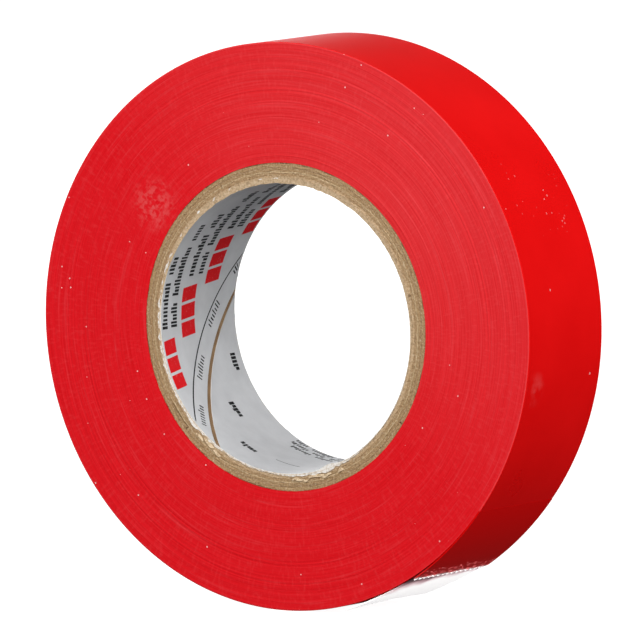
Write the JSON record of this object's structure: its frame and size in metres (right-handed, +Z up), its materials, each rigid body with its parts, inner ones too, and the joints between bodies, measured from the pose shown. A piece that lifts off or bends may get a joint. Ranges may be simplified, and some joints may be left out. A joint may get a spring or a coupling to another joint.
{
  "type": "electrical tape roll",
  "caption": "Roll of vinyl electrical tape wound on a layered paperboard core, with a lifted end and a plain film starter tab.",
  "frame": {"origin": "middle of the core's bore, on the roll's axis and halfway through its width", "axes": "+Y along the roll's axis from its front face to its back face, +Z up with the roll standing on its rim"},
  "size_m": [0.0737, 0.018, 0.0737],
  "materials": {
    "liner_paper": "satin",
    "kraft_board": "matte",
    "vinyl_film": "gloss",
    "tab_film": "satin"
  },
  "bodies": {
    "roll": {"core_liner": "liner_paper", "core_ply_1": "kraft_board", "core_ply_2": "kraft_board", "core_ply_3": "kraft_board", "core_ply_4": "kraft_board", "tape_strip": "vinyl_film"},
    "loose_end": {"tape_end": "vinyl_film", "tab_bonded_end": "tab_film"},
    "pull_tab": {"tab_pull_end": "tab_film"}
  },
  "joints": [
    {"name": "end_peel", "type": "hinge", "parent": "roll", "child": "loose_end", "pos_m": [0.0295, 0, -0.02223], "axis": [0, -1, 0], "range_deg": [0, 120]},
    {"name": "tab_lift", "type": "hinge", "parent": "loose_end", "child": "pull_tab", "pos_m": [0.01918, 0, -0.03162], "axis": [0, -1, 0], "range_deg": [0, 80]}
  ]
}
